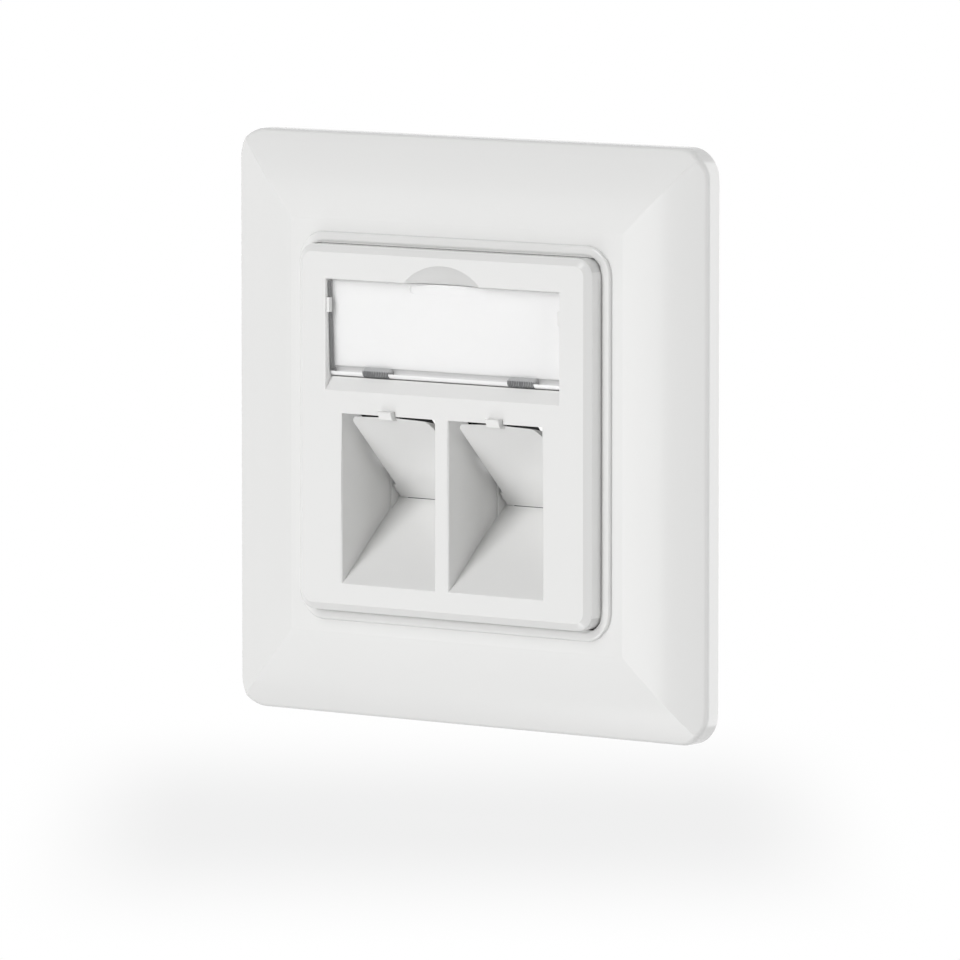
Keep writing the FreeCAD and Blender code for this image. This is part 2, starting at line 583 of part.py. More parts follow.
    # countersunk screw holes in the floor of the recess
    for side in SIDES:
        x = f"{side} * {SCREW_X}"
        front_cut(body, "ScrewHole", RECESS_FLOOR, "recess_floor", add_circle, x, "screw_rise",
                  "screw_radius + screw_hole_clearance")
        seat = body.newObject("PartDesign::SubtractiveCone", "ScrewSeat")
        seat.Placement.Rotation = FreeCAD.Rotation(Vector(1, 0, 0), -90)
        seat.setExpression("Radius1", bound("screw_head_radius + screw_clearance"))
        seat.setExpression("Radius2", bound("screw_radius + screw_clearance"))
        seat.setExpression("Height", bound("screw_head_radius - screw_radius"))
        seat.setExpression("Placement.Base.x", bound(x))
        seat.setExpression("Placement.Base.y", bound(f"-{RECESS_FLOOR}"))
        seat.setExpression("Placement.Base.z", bound("screw_rise"))
        doc.recompute()

    # soft edge round the sides and the bottom of each well's mouth
    top, bottom = number("port_top"), number(PORT_BOTTOM)
    centre, half = number(port_centre(1)), number("port_width / 2")

    def at_mouth(point):
        beside = abs(abs(abs(point.x) - centre) - half) < 0.01 and bottom - 0.01 < point.z < top + 0.01
        below = abs(point.z - bottom) < 0.01 and abs(abs(point.x) - centre) < half + 0.01
        return abs(point.y - face_y) < 0.01 and (beside or below)

    round_edges(body, "mouth_edge_radius", at_mouth)
    return body


def make_dust_flap(name, side):
    """Flat flap with a finger nub at the top and a wide foot with pivot pins at the bottom of the V."""
    body = new_body(name)
    middle = port_centre(side)
    section(body, "FlapPanel", middle, "port_width - 2 * flap_side_gap", add_outline, [
        along_flap("flap_top_gap", "0"),
        along_flap(PIVOT_ALONG, "0"),
        along_flap(PIVOT_ALONG, "flap_thickness"),
        along_flap("flap_top_gap", "flap_thickness"),
    ])
    slope = number("flap_angle")
    lean = Vector(0, math.cos(math.radians(slope)), math.sin(math.radians(slope)))
    top = Vector(0, *(number(value) for value in along_flap("flap_top_gap", "0")))
    down = Vector(0, lean.z, -lean.y)
    half = number("port_width / 2 - flap_side_gap")
    centre = number(middle)

    def at_top_corner(point):
        return abs((point - top).dot(down)) < 0.01 and abs(abs(point.x - centre) - half) < 0.01

    round_edges(body, "flap_corner_radius", at_top_corner)
    front_top = along_flap("flap_top_gap", "0")
    past = f"2 * flap_thickness + {OVERSHOOT}"
    section(body, "FlapTopBevel", middle, "port_width", add_outline, [
        front_top,
        (f"{front_top[0]} + {past}", f"{front_top[1]} - ({past}) * tan(flap_top_fall)"),
        (f"{front_top[0]} + {past}", f"{front_top[1]} + {past}"),
        (front_top[0], f"{front_top[1]} + {past}"),
    ], cut=True)
    section(body, "FlapFoot", middle, "port_width - 2 * foot_side_gap", add_outline, [
        along_flap(f"{PIVOT_ALONG} - foot_length", "0"),
        along_flap(f"{PIVOT_ALONG} + foot_reach", "0"),
        along_flap(f"{PIVOT_ALONG} + foot_reach", "2 * pivot_behind"),
        along_flap(f"{PIVOT_ALONG} - foot_length", "flap_thickness"),
    ])
    section(body, "FlapPins", middle, f"2 * ({EAR_INNER} + pivot_engagement)", add_circle,
            *along_flap(PIVOT_ALONG, "pivot_behind"), "pivot_radius")
    nub_top = "(port_top + nub_rise)"
    nub_front = "(-face_depth - nub_projection)"
    section(body, "FlapNub", middle, "nub_width", add_outline, [
        (nub_front, nub_top),
        (nub_front, f"{nub_top} - nub_height"),
        along_flap("flap_top_gap + flap_thickness", "flap_thickness / 2"),
        along_flap("flap_top_gap", "flap_thickness / 2"),
        ("-face_depth + nub_rise - flap_top_gap", nub_top),
    ])
    return body


def make_label_window():
    """Clear pane over the card, hinged on a rod along its lower edge."""
    body = new_body("label_window")
    pane_back = f"({WINDOW_FRONT} - window_thickness)"
    front_pad(body, "Pane", pane_back, "window_thickness", add_box,
              f"-{WINDOW_HALF}", WINDOW_HALF, ROD_Z, WINDOW_TOP)
    section(body, "Rod", "0", f"2 * {WINDOW_HALF}", add_circle, f"-{ROD_DEPTH}", ROD_Z, "window_rod_radius")
    section(body, "RodPins", "0", f"2 * ({RECESS_HALF} + window_pin_length)", add_circle,
            f"-{ROD_DEPTH}", ROD_Z, "window_pin_radius")
    for side in SIDES:
        middle = f"{side} * window_tab_pitch / 2"
        front_pad(body, "HingeBlock", f"{WINDOW_FRONT} - 2 * window_rod_radius", "2 * window_rod_radius",
                  add_rounded_box, f"{middle} - window_tab_width / 2", f"{middle} + window_tab_width / 2",
                  f"{ROD_Z} - window_tab_radius", f"{ROD_Z} + window_tab_rise", "window_tab_radius")
        section(body, "HingeCollar", middle, "window_tab_width", add_circle, f"-{ROD_DEPTH}", ROD_Z,
                "window_rod_radius + window_collar")
    front_pad(body, "FingerLip", WINDOW_FRONT, "window_lip_rise", add_rounded_box,
              "-window_lip_width / 2", "window_lip_width / 2",
              f"{WINDOW_TOP} - window_lip_height", WINDOW_TOP, "window_lip_radius")
    return body


def make_label_card():
    """Paper label on the floor of the recess."""
    card = doc.addObject("Part::Box", "label_card")
    card.Label = "label_card"
    half = f"({WINDOW_HALF} - card_gap)"
    bottom = f"({ROD_Z} + window_tab_rise + card_gap)"
    for name, expression in (("Length", f"2 * {half}"), ("Width", "card_thickness"),
                             ("Height", f"{WINDOW_TOP} - card_gap - {bottom}"),
                             ("Placement.Base.x", f"-{half}"),
                             ("Placement.Base.y", f"-{RECESS_FLOOR} - card_thickness"),
                             ("Placement.Base.z", bottom)):
        card.setExpression(name, bound(expression))
    return card


def make_keystone_holder():
    """Moulded holder: a flange on the bracket, two slanted bays for jacks, and an apron behind the V."""
    body = new_body("keystone_holder")
    front_pad(body, "HolderFlange", "bracket_thickness", "holder_flange_thickness", add_rounded_square,
              HOLDER_FLANGE, "holder_flange_radius")
    middle_depth = f"(bracket_thickness + holder_flange_thickness / 2)"
    front_of_block = f"(face_depth - {middle_depth})"
    root_of_block = f"({front_of_block} / tan(flap_angle) - holder_setback / sin(flap_angle))"
    window_top = f"(port_top - {root_of_block} + holder_root)"
    floor_under = f"({PORT_BOTTOM} + (face_depth - {HOLDER_FLANGE_FRONT}) * {FLOOR_RISE} - {FLOOR_DROP})"
    window_half = f"({WELLS_HALF} + holder_well_gap)"
    front_cut(body, "HolderWindow", HOLDER_FLANGE_FRONT, HOLDER_FLANGE_FRONT, add_box,
              f"-{window_half}", window_half, f"{floor_under} - holder_well_gap", window_top)

    section(body, "HolderBlock", "0", f"2 * {HOLDER_HALF}", add_outline, [
        along_flap("holder_top", "holder_setback"),
        along_flap("holder_top", HOLDER_BACK),
        along_flap(HOLDER_BOTTOM, HOLDER_BACK),
        along_flap(HOLDER_BOTTOM, "holder_setback"),
    ])

    # apron that closes the view past the bottom of the V
    corner = along_flap(HOLDER_BOTTOM, "holder_setback")
    in_wall = f"{HOLDER_BOTTOM} - bay_wall / 2"
    section(body, "Apron", "0", f"2 * {HOLDER_HALF}", add_outline, [
        corner,
        along_flap(in_wall, "holder_setback"),
        along_flap(in_wall, "holder_setback + bay_wall"),
        (f"{corner[0]} + bay_wall", f"{WELL_BOTTOM_Z} - holder_apron"),
        (corner[0], f"{WELL_BOTTOM_Z} - holder_apron"),
    ])

    # bays, with a window above for the jack's spring catch and one below for its fixed hook
    catch_front = "(holder_setback + catch_window_setback)"
    for side in SIDES:
        for name, width, top, bottom, front, back in (
                ("Bay", "bay_width", BAY_TOP, BAY_BOTTOM, f"(holder_setback - {OVERSHOOT})",
                 f"({HOLDER_BACK} + {OVERSHOOT})"),
                ("CatchWindow", "catch_window_width", f"(holder_top - {OVERSHOOT})",
                 f"({BAY_TOP} + {OVERSHOOT})", catch_front, f"({catch_front} + catch_window_length)"),
                ("HookWindow", "hook_window_width", f"({BAY_BOTTOM} - {OVERSHOOT})",
                 f"({HOLDER_BOTTOM} + {OVERSHOOT})", catch_front, f"({catch_front} + hook_window_length)")):
            section(body, name, port_centre(side), width, add_outline, [
                along_flap(top, front), along_flap(top, back), along_flap(bottom, back),
                along_flap(bottom, front)], cut=True)

    # bosses for the plate's screws
    for side in SIDES:
        x = f"{side} * {SCREW_X}"
        front_pad(body, "Boss", "bracket_thickness", f"{BOSS_FRONT} - bracket_thickness", add_circle, x,
                  "screw_rise", "boss_radius")
        front_cut(body, "BossHole", BOSS_FRONT, f"screw_length + {OVERSHOOT}", add_circle, x, "screw_rise",
                  "screw_radius + screw_clearance")

    # snap hooks that pass through the bracket and catch behind it
    outside = f"({BRACKET_OPENING} - hook_gap)"
    for side in SIDES:
        for level in SIDES:
            sketch = new_sketch(body, "XY", "SnapHook", f"{level} * hook_height")
            leg, barb = f"{side} * {outside}", f"{side} * ({outside} + hook_catch)"
            inner = f"{side} * ({outside} - hook_thickness)"
            foot, end = f"(-bracket_thickness - {ROOT})", "(hook_gap + hook_tip)"
            add_outline(sketch, [(inner, foot), (leg, foot), (leg, "hook_gap"), (barb, "hook_gap"),
                                 (leg, end), (inner, end)])
            extrude(body, sketch, "hook_width", both_ways=True)
    return body


def make_mounting_bracket():
    """Steel sheet on the wall, slotted for the wall box's screws."""
    body = new_body("mounting_bracket")
    front_pad(body, "Sheet", "0", "bracket_thickness", add_rounded_square, BRACKET_HALF,
              "bracket_corner_radius")
    front_cut(body, "SheetOpening", "bracket_thickness", "bracket_thickness", add_rounded_square,
              BRACKET_OPENING, "(bracket_corner_radius / 2)")
    for side in SIDES:
        reach = f"{side} * {BOX_SCREW_REACH}"
        front_cut(body, "SideSlot", "bracket_thickness", "bracket_thickness", add_slot, reach, "0",
                  "box_slot_length", "box_slot_width", False)
        front_cut(body, "EndSlot", "bracket_thickness", "bracket_thickness", add_slot, "0", reach,
                  "box_slot_length", "box_slot_width", True)
    return body


def make_plate_screw(name, side):
    """Countersunk screw through the floor of the recess into a boss of the holder."""
    body = new_body(name)
    x = f"{side} * {SCREW_X}"
    head = f"({RECESS_FLOOR} - screw_clearance)"
    front_pad(body, "Shank", f"{head} - screw_length", "screw_length", add_circle, x, "screw_rise",
              "screw_radius")
    cone = body.newObject("PartDesign::AdditiveCone", "Head")
    cone.Placement.Rotation = FreeCAD.Rotation(Vector(1, 0, 0), -90)
    cone.setExpression("Radius1", bound("screw_head_radius"))
    cone.setExpression("Radius2", bound("screw_radius"))
    cone.setExpression("Height", bound("screw_head_radius - screw_radius"))
    cone.setExpression("Placement.Base.x", bound(x))
    cone.setExpression("Placement.Base.y", bound(f"-{head}"))
    cone.setExpression("Placement.Base.z", bound("screw_rise"))
    doc.recompute()
    front_cut(body, "DriverSlot", head, "screw_slot_depth", add_box,
              f"{x} - screw_head_radius", f"{x} + screw_head_radius",
              "screw_rise - screw_slot_width / 2", "screw_rise + screw_slot_width / 2")
    return body


ALIAS = re.compile(r"\b(" + "|".join(name for name, _, _ in SIZES) + r")\b")
doc = FreeCAD.newDocument("KeystoneFaceplate")
sheet = doc.addObject("Spreadsheet::Sheet", "Sizes")
for row, (name, value, meaning) in enumerate(SIZES, start=1):
    sheet.set(f"A{row}", meaning)
    sheet.set(f"B{row}", str(value))
    sheet.setAlias(f"B{row}", name)
doc.recompute()

sub_parts = [
    make_outer_frame(),
    make_adapter_ring(),
    make_centre_plate(),
    make_dust_flap("dust_flap_left", -1),
    make_dust_flap("dust_flap_right", 1),
    make_label_window(),
    make_label_card(),
    make_keystone_holder(),
    make_mounting_bracket(),
    make_plate_screw("plate_screw_left", -1),
    make_plate_screw("plate_screw_right", 1),
]
doc.recompute()

failed = [item.Name for item in doc.Objects if {"Invalid", "Error"} & set(item.State)]
if failed:
    raise RuntimeError("features failed: " + ", ".join(failed))
for part in sub_parts:
    shape = part.Shape
    if shape.isNull() or not shape.isValid() or not shape.Solids:
        raise RuntimeError(part.Label + " has no valid solid")
    print(f"{part.Label}: {len(shape.Solids)} solid, {shape.Volume:.1f} mm3")

os.makedirs("parts", exist_ok=True)
for part in sub_parts:
    part.Shape.exportStep(os.path.join("parts", part.Label + ".step"))
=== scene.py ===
# %% [markdown]
# # A keystone faceplate, dressed for a studio picture
# The real object is a flush wall outlet for two network jacks. A square domed frame and a thin adapter
# ring are moulded in glossy white plastic. The centre plate carries a paper label under a clear window, and
# below it two V-shaped wells, each closed by a dust flap. Behind it sit a black jack holder and a
# zinc-plated steel bracket. The solids come ready from CAD and stay where they are. This script softens
# their moulded edges, adds the small pieces that only the eye needs, gives every piece its finish and
# lights the whole.

# %% Load the solids and keep their box
import json
import math

import bpy
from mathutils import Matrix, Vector

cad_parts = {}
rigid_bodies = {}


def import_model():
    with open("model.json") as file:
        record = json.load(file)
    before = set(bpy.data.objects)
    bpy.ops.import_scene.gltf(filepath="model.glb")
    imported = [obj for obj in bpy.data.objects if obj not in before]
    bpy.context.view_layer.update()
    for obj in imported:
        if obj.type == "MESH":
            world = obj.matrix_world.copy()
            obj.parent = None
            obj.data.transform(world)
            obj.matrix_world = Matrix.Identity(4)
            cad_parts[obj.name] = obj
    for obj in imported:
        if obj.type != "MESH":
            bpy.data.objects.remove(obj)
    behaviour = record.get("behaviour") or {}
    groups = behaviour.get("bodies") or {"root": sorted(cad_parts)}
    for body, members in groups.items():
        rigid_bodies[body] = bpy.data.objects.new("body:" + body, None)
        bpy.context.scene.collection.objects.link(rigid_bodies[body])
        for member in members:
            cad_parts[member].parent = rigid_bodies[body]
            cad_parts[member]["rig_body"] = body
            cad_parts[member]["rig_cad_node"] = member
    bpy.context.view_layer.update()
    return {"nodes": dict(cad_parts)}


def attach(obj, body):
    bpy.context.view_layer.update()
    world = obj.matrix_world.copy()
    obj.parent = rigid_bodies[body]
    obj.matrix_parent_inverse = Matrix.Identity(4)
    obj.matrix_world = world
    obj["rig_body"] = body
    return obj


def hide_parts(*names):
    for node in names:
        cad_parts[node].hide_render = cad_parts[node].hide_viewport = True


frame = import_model()
nodes = frame["nodes"]
MM = 0.001
print("nodes:", ", ".join(sorted(nodes)))

# %% [markdown]
# ## Placing things
# Every piece is finished with its object at the origin and its place in its mesh, so a pattern that reads
# Object coordinates stays put when a body moves. Operators act on whatever is selected, so each step
# starts by selecting nothing and then only what it needs. The selection could be left to luck, but the load
# leaves every node selected, and the first operator would then change them all.

# %% Selecting


def select_nothing():
    """Deselect every object, so that the next operator acts only on what it is given."""
    for item in bpy.context.selected_objects:
        item.select_set(False)


def only(*objects):
    """Select these objects alone and make the first one active."""
    select_nothing()
    for item in objects:
        item.select_set(True)
    bpy.context.view_layer.objects.active = objects[0]


print("selected by the load:", len(bpy.context.selected_objects), "objects")
select_nothing()

# %% [markdown]
# ## Copies of the solids
# A solid from CAD comes as loose triangles, with the direction of its shading stored at each corner. It is
# never touched. Where its edges need softening, a copy takes its place: its triangles are joined where they
# meet, and flat neighbours are dissolved into one face, because a bevel only works on true edges.

# %% Copying and applying
MERGE_WITHIN = 0.002 * MM
FLAT_WITHIN = math.radians(0.3)


def copy_of(node, name):
    """A separate object with its own merged copy of a CAD node's mesh."""
    only(nodes[node])
    bpy.ops.object.duplicate()
    piece = bpy.context.active_object
    piece.name = piece.data.name = name
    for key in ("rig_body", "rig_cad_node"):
        del piece[key]
    piece.parent = None
    bpy.ops.object.mode_set(mode="EDIT")
    bpy.ops.mesh.customdata_custom_splitnormals_clear()
    bpy.ops.mesh.select_all(action="SELECT")
    bpy.ops.mesh.remove_doubles(threshold=MERGE_WITHIN)
    bpy.ops.mesh.dissolve_limited(angle_limit=FLAT_WITHIN)
    bpy.ops.object.mode_set(mode="OBJECT")
    return piece


def apply_all(piece):
    """Apply the piece's modifiers in order."""
    only(piece)
    for modifier in list(piece.modifiers):
        bpy.ops.object.modifier_apply(modifier=modifier.name)


def report(piece):
    """Print what a piece measures, in millimetres."""
    size = [round(length / MM, 2) for length in piece.dimensions]
    print(f"{piece.name}: {size} mm, {len(piece.data.polygons)} faces")


report(nodes["centre_plate"])

# %% [markdown]
# ## Moulded edges
# No moulded part has a knife edge: the steel of the mould is cut with a small radius, and that radius is
# what catches the light as a thin bright or dark line. It could be faked with a Bevel shader node, but that
# isn't in the exported mesh. A Bevel modifier on a merged copy of the solid makes real geometry. Its angle
# limit keeps it off the edges inside curved surfaces, and where only some edges want a larger radius, a
# vertex group names them. Weighted normals then keep the flat faces flat right up to their rounded edges.

# %% Rounding and settling a copy
SHARP_EDGE = math.radians(38)
SMOOTH_BELOW = math.radians(32)


def round_edges(piece, radius_mm, segments=2, at=None, slot=-1):
    """Bevel the sharp edges, or only the edges between the vertices where at(place in mm) is true."""
    bevel = piece.modifiers.new("moulded edge", "BEVEL")
    bevel.width = radius_mm * MM
    bevel.segments = segments
    bevel.material = slot
    bevel.miter_outer = "MITER_ARC"
    if at:
        chosen = piece.vertex_groups.new(name="chosen edges")
        chosen.add([v.index for v in piece.data.vertices if at(v.co / MM)], 1.0, "REPLACE")
        bevel.limit_method, bevel.vertex_group = "VGROUP", chosen.name
    else:
        bevel.limit_method, bevel.angle_limit = "ANGLE", SHARP_EDGE
    apply_all(piece)
    piece.vertex_groups.clear()


def settle(piece, node):
    """Smooth the rounded edges without bending the flats, and let the piece stand for its node."""
    only(piece)
    bpy.ops.object.shade_smooth_by_angle(angle=SMOOTH_BELOW)
    weights = piece.modifiers.new("even shading", "WEIGHTED_NORMAL")
    weights.keep_sharp = True
    apply_all(piece)
    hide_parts(node)
    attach(piece, nodes[node]["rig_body"])
    report(piece)


print("edges sharper than", round(math.degrees(SHARP_EDGE)), "degrees are rounded")

# %% [markdown]
# ## The centre plate
# The plate is the face of the outlet. Above the label recess it has a shallow scoop for the fingertip that
# opens the window. The scoop could be carved with a Boolean, but the solid has it already, so its points
# are only pushed back until it reads as a hollow under soft light. The recess's two upright mouth edges
# are clearly rounder than the other edges, and get their own bevel first.

# %% Plate with a deeper scoop and rounded recess
# Places on the plate, in millimetres.
PLATE_FRONT = -8.8
RECESS_SIDE, RECESS_BOTTOM = 20.0, 7.0
SCOOP_HALF_WIDTH, SCOOP_BOTTOM, SCOOP_TOP, SCOOP_BACK = 7, 20.3, 23.2, -7.7
SCOOP_DEEPER = 1.4
NEAR = 0.05


def in_scoop(place):
    """True for a point of the scoop's curved floor, behind the plate's front."""
    return (abs(place.x) < SCOOP_HALF_WIDTH and SCOOP_BOTTOM < place.z < SCOOP_TOP
            and PLATE_FRONT + 0.01 < place.y < SCOOP_BACK)


def on_mouth_edge(place):
    """True on the recess's left and right edges in the plate's front."""
    return (abs(place.y - PLATE_FRONT) < NEAR and abs(abs(place.x) - RECESS_SIDE) < NEAR
            and place.z > RECESS_BOTTOM - 0.1)


plate = copy_of("centre_plate", "centre_plate_moulding")
for vertex in plate.data.vertices:
    if in_scoop(vertex.co / MM):
        vertex.co.y = PLATE_FRONT * MM + (vertex.co.y - PLATE_FRONT * MM) * SCOOP_DEEPER
round_edges(plate, 0.4, 4, at=on_mouth_edge)
round_edges(plate, 0.1)
settle(plate, "centre_plate")

# %% [markdown]
# ## The adapter ring
# The ring fills the step between frame and plate, and its rounded lip shows as a fine line all round. The
# gap between its inner wall and the plate is a dark line when it is as wide as the working clearance, and
# a real one closes up as the plate is pressed home, so the wall stands a little nearer to the plate here.

# %% Ring with its wall close to the plate
RING_WALL, WALL_INWARD = 25.2, 0.17

ring = copy_of("adapter_ring", "adapter_ring_moulding")
for vertex in ring.data.vertices:
    for axis in (0, 2):
        if abs(abs(vertex.co[axis]) / MM - RING_WALL) < NEAR:
            vertex.co[axis] -= math.copysign(WALL_INWARD * MM, vertex.co[axis])
round_edges(ring, 0.06)
settle(ring, "adapter_ring")

# %% [markdown]
# ## The dust flaps
# Each flap is a flat panel that leans back in its well and has a small nub at the top for the fingertip.
# A black slit shows above it, and hardly any below. The copies are trimmed for that by moving a few
# points: the top edge down, the lower tip down, and the nub's top up to close over the plate's notch. The
# nub's lower front edge goes back, because its face slopes like the panel. Only the nub's front is rounded.

# %% Flaps, trimmed and with a soft nub
# Where the nub, the top edge and the lower tip of a flap begin, in millimetres.
NUB_MIDDLE, NUB_HALF_WIDTH = 9.2, 1.25
NUB_BACK, NUB_FRONT, NUB_TOP = -7.4, -9.5, 2.7
NUB_ROUND_FROM, TOP_EDGE_FROM, LOWER_TIP_FROM = -8.75, 0.9, -10.05
# How far each of them moves.
NUB_UP, NUB_FACE_BACK, TOP_EDGE_DOWN, TIP_DOWN = 0.07 * MM, 0.5 * MM, 0.13 * MM, 0.1 * MM


def trim(flap):
    """Move the flap's edges and its nub by a few hundredths of a millimetre to half a millimetre."""
    for vertex in flap.data.vertices:
        place = vertex.co / MM
        in_nub = abs(abs(place.x) - NUB_MIDDLE) < NUB_HALF_WIDTH and place.y < NUB_BACK
        if in_nub and place.z > NUB_TOP:
            vertex.co.z += NUB_UP
        elif in_nub and place.y < NUB_FRONT:
            vertex.co.y += NUB_FACE_BACK
        elif not in_nub and place.z > TOP_EDGE_FROM:
            vertex.co.z -= TOP_EDGE_DOWN
        elif place.z < LOWER_TIP_FROM:
            vertex.co.z -= TIP_DOWN


flaps = []
for side in ("left", "right"):
    flap = copy_of(f"dust_flap_{side}", f"dust_flap_{side}_moulding")
    trim(flap)
    round_edges(flap, 0.22, 3, at=lambda place: place.y < NUB_ROUND_FROM)
    settle(flap, f"dust_flap_{side}")
    flaps.append(flap)

# %% [markdown]
# ## The window and its hinge
# The window is one clear moulding: a pane, a rod along its lower edge that turns in the plate, and two
# hinge blocks on the rod. The pane leans forward a little towards its top, where it snaps in near the
# plate's face. Turning the whole piece would move the rod off its hinge, so each point moves forward by its
# height above the rod instead. The pane's sides move out and the blocks' left ends in by the same means.

# %% Window, leaned and trimmed
CLEAR, EDGE, ROD, BLOCK, COLLAR = range(5)
ROD_HEIGHT, ROD_DEPTH = 7.75 * MM, -7.2 * MM
BLOCK_HALF, BLOCK_CENTRE, BLOCK_TRIM = 2.5 * MM, 12.4 * MM, 0.6 * MM
BLOCK_LEFT_ENDS = (-BLOCK_CENTRE - BLOCK_HALF, BLOCK_CENTRE - BLOCK_HALF)
PANE_FROM, PANE_HEIGHT, PANE_LEAN = 8.45 * MM, 11.6 * MM, 0.5 * MM
PANE_SIDE, PANE_WIDER = 19.4 * MM, 0.5 * MM


def lean(height):
    """How far the pane stands forward at a height: nothing at the rod, half a millimetre at the top."""
    return PANE_LEAN * max(0.0, min(1.0, (height - PANE_FROM) / PANE_HEIGHT))


window = copy_of("label_window", "clear_window")
for slot in range(5):
    window.data.materials.append(None)
for vertex in window.data.vertices:
    vertex.co.y -= lean(vertex.co.z)
    if abs(abs(vertex.co.x) - PANE_SIDE) < NEAR * MM:
        vertex.co.x += math.copysign(PANE_WIDER, vertex.co.x)
    if min(abs(vertex.co.x - end) for end in BLOCK_LEFT_ENDS) < NEAR * MM:
        vertex.co.x += BLOCK_TRIM
round_edges(window, 0.1, slot=COLLAR)
settle(window, "label_window")

# %% [markdown]
# ## Faces of the window told apart
# Clear plastic shows its form by its edges, which bend the light away and look grey, and by the rod, which
# gathers light and looks white. Glass shading would be slow and noisy at this size, so the edges, the rod
# and the blocks are sets of faces, and each set gets its own finish later on: painted shade in grey on the
# edges, blocks and collars, and painted light in white on the rod. The bevel above gave every face that it
# made the last slot, which picks out all the edges, and the rest are told by their place.

# %% Sets of faces
ROD_TOP = ROD_HEIGHT + 0.68 * MM
BLOCK_TOP, COLLAR_TOP = 8.65 * MM, 8.0 * MM
ROD_LEFT_END = -19.3 * MM
LIP_FROM, LIP_HALF_WIDTH, LIP_FRONT = 18.8 * MM, 6 * MM, -8.3 * MM


def window_part(face):
    """The slot for a face of the window, from where it lies."""
    middle = face.center
    if abs(abs(middle.x) - BLOCK_CENTRE) < BLOCK_HALF + 0.02 * MM and middle.z < BLOCK_TOP:
        return BLOCK if middle.z > COLLAR_TOP else COLLAR
    if middle.z < ROD_TOP:
        return COLLAR if middle.x < ROD_LEFT_END else ROD
    if middle.z > LIP_FROM and abs(middle.x) < LIP_HALF_WIDTH and middle.y < LIP_FRONT:
        return CLEAR
    return EDGE if face.material_index == COLLAR else face.material_index


for face in window.data.polygons:
    face.material_index = window_part(face)
for name, slot in (("clear", CLEAR), ("edge", EDGE), ("rod", ROD), ("block", BLOCK), ("collar", COLLAR)):
    print(name, "faces:", sum(face.material_index == slot for face in window.data.polygons))

# %% [markdown]
# ## Ribbed hinge collars
# Round each hinge block the rod carries a collar with fine ribs. Each rib is a thin disc a few hundredths
# of a millimetre proud of the collar. A bump pattern would show no outline and would be lost in the
# exported mesh, so one disc is made and bevelled, then copied along the rod by an Array modifier, which
# is applied.

# %% Ribs on the collars
RIB_COUNT, RIB_PITCH = 15, 0.29 * MM
RIB_RADIUS, RIB_WIDTH, RIM_RADIUS = 0.735 * MM, 0.15 * MM, 0.04 * MM


def collar_ribs(name, centre_x):
    """A row of thin bevelled discs round the rod, as long as a hinge block."""
    first = centre_x - (RIB_COUNT - 1) / 2 * RIB_PITCH
    select_nothing()
    bpy.ops.mesh.primitive_cylinder_add(vertices=40, radius=RIB_RADIUS, depth=RIB_WIDTH,
                                        location=(first, ROD_DEPTH, ROD_HEIGHT),
                                        rotation=(0, math.pi / 2, 0))
    ribs = bpy.context.active_object
    ribs.name = ribs.data.name = name
    bpy.ops.object.transform_apply(location=True, rotation=True, scale=True)
    edge = ribs.modifiers.new("rounded rim", "BEVEL")
    edge.width, edge.segments = RIM_RADIUS, 2
    edge.limit_method, edge.angle_limit = "ANGLE", math.radians(60)
    row = ribs.modifiers.new("row", "ARRAY")
    row.count, row.use_relative_offset, row.use_constant_offset = RIB_COUNT, False, True
    row.constant_offset_displace = (RIB_PITCH, 0, 0)
    apply_all(ribs)
    bpy.ops.object.shade_smooth_by_angle(angle=math.radians(40))
    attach(ribs, "window")
    report(ribs)
    return ribs


ribs = [collar_ribs("collar_ribs_left", -BLOCK_CENTRE + BLOCK_TRIM / 2),
        collar_ribs("collar_ribs_right", BLOCK_CENTRE + BLOCK_TRIM / 2)]

# %% [markdown]
# ## The paper label
# The label is a white card behind the pane, from the rod up to the top of the recess. A flat sheet would
# leave a dark gap behind its edges, so it is a block that fills the recess behind the pane: a cube set to
# that size, its front leaned forward like the pane, and its edges rounded like cut card.

# %% Label behind the pane
LABEL_CENTRE = (0, -6.675 * MM, 14.35 * MM)
LABEL_SIZE = (39.8 * MM, 0.65 * MM, 11.9 * MM)

select_nothing()
bpy.ops.mesh.primitive_cube_add(size=1, location=LABEL_CENTRE, scale=LABEL_SIZE)
label = bpy.context.active_object
label.name = label.data.name = "paper_label"
bpy.ops.object.transform_apply(location=True, rotation=True, scale=True)
for vertex in label.data.vertices:
    if vertex.co.y < LABEL_CENTRE[1]:
        vertex.co.y -= lean(vertex.co.z)
cut = label.modifiers.new("cut corners", "BEVEL")
cut.width, cut.segments = 0.12 * MM, 3
apply_all(label)
bpy.ops.object.shade_smooth_by_angle(angle=math.radians(40))
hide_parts("label_card")
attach(label, "outlet")
report(label)

# %% [markdown]
# ## Finishes
# The plastics differ in gloss and grain more than in colour. Colours are written as the sRGB hex values
# that a colour picker gives, and turned to the linear values that the renderer wants. Patterns take their
# scale from real sizes: a Noise texture's scale is in cycles per metre here, because the model is in metres.

# %% Colours


def linear(hex_colour, darker=1.0):
    """sRGB hex to a linear RGBA value, made darker by a factor where one is given."""
    channels = [int(hex_colour[index:index + 2], 16) / 255 for index in (0, 2, 4)]
    return tuple((c / 12.92 if c <= 0.04045 else ((c + 0.055) / 1.055) ** 2.4) * darker
                 for c in channels) + (1.0,)


print("half-bright grey BCBCBC is", round(linear("BCBCBC")[0], 2), "in linear light")

# %% [markdown]
# ## Nodes
# A material is a small network of nodes. It could be wired by hand in the shader editor, but then the file
# couldn't be read as a recipe. One helper adds any node with its settings and links, so that each finish
# below reads from the top down, from the place on the surface to the shader.

# %% Adding nodes


